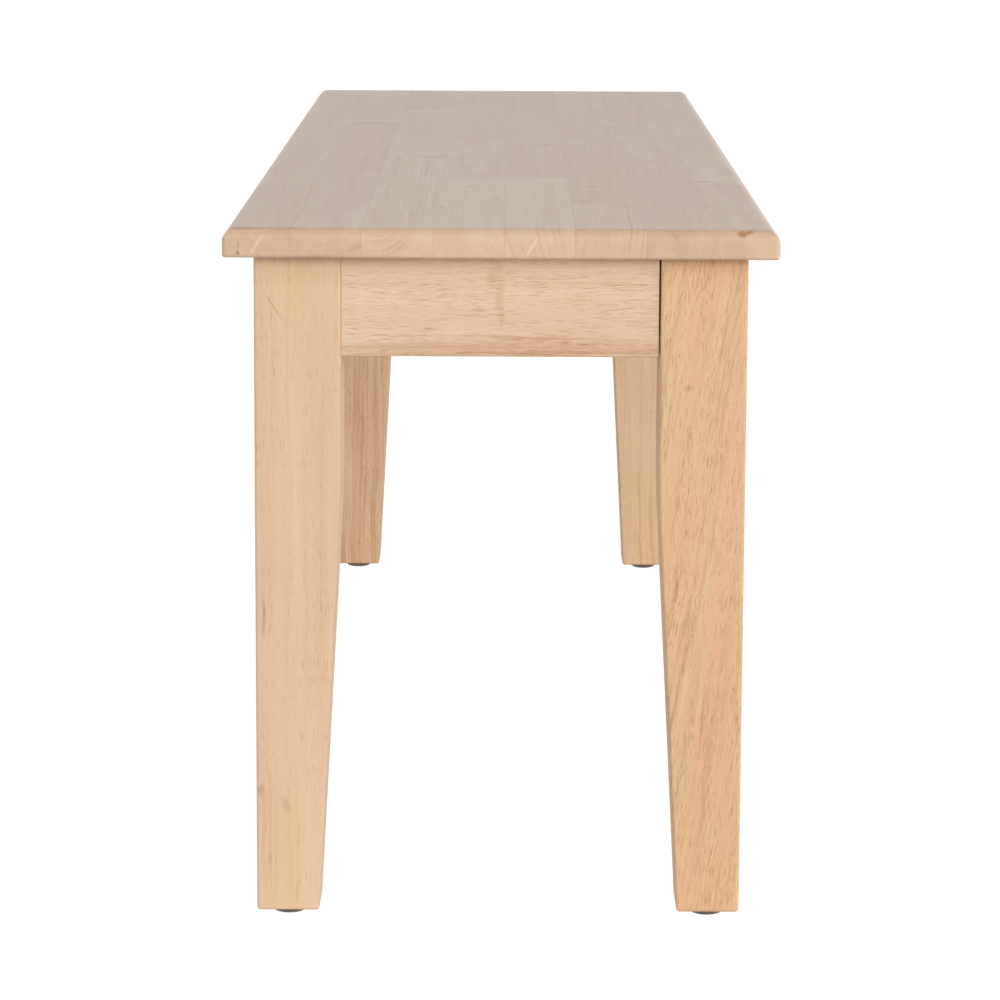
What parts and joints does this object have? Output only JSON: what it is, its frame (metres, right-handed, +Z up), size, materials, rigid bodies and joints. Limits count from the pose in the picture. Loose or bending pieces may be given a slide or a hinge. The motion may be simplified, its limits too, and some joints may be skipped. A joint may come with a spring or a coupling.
{
  "type": "dining bench",
  "caption": "Backless strip-wood dining bench: a rounded seat board on a shallow apron frame, with square legs that taper on their inner faces.",
  "frame": {"origin": "on the floor, under the middle of the seat", "axes": "+X along the bench towards its right end, +Y across it towards the back, +Z up"},
  "size_m": [1.2, 0.356, 0.46],
  "materials": {
    "seat_wood": "satin clear lacquer",
    "leg_wood": "satin clear lacquer",
    "apron_wood": "satin clear lacquer",
    "block_wood": "sanded, unfinished",
    "zinc_plated_steel": "zinc plated",
    "yellow_zinc_steel": "yellow zinc plated",
    "glide_plastic": "moulded",
    "nail_steel": "bright"
  },
  "bodies": {
    "root": {"top_stave_1": "seat_wood", "top_stave_2": "seat_wood", "top_stave_3": "seat_wood", "top_stave_4": "seat_wood", "top_stave_5": "seat_wood", "top_stave_6": "seat_wood", "top_stave_7": "seat_wood", "top_stave_8": "seat_wood", "leg_back_right": "leg_wood", "leg_front_right": "leg_wood", "leg_back_left": "leg_wood", "leg_front_left": "leg_wood", "apron_front": "apron_wood", "apron_back": "apron_wood", "apron_right": "apron_wood", "apron_left": "apron_wood", "corner_block_back_right": "block_wood", "corner_block_front_right": "block_wood", "corner_block_back_left": "block_wood", "corner_block_front_left": "block_wood", "cross_brace": "block_wood", "hanger_bolts": "zinc_plated_steel", "flat_washers": "zinc_plated_steel", "spring_washers": "zinc_plated_steel", "hex_nuts": "zinc_plated_steel", "block_screws": "yellow_zinc_steel", "seat_screws": "yellow_zinc_steel", "brace_screws": "yellow_zinc_steel", "foot_glides": "glide_plastic", "glide_nails": "nail_steel"}
  },
  "joints": []
}
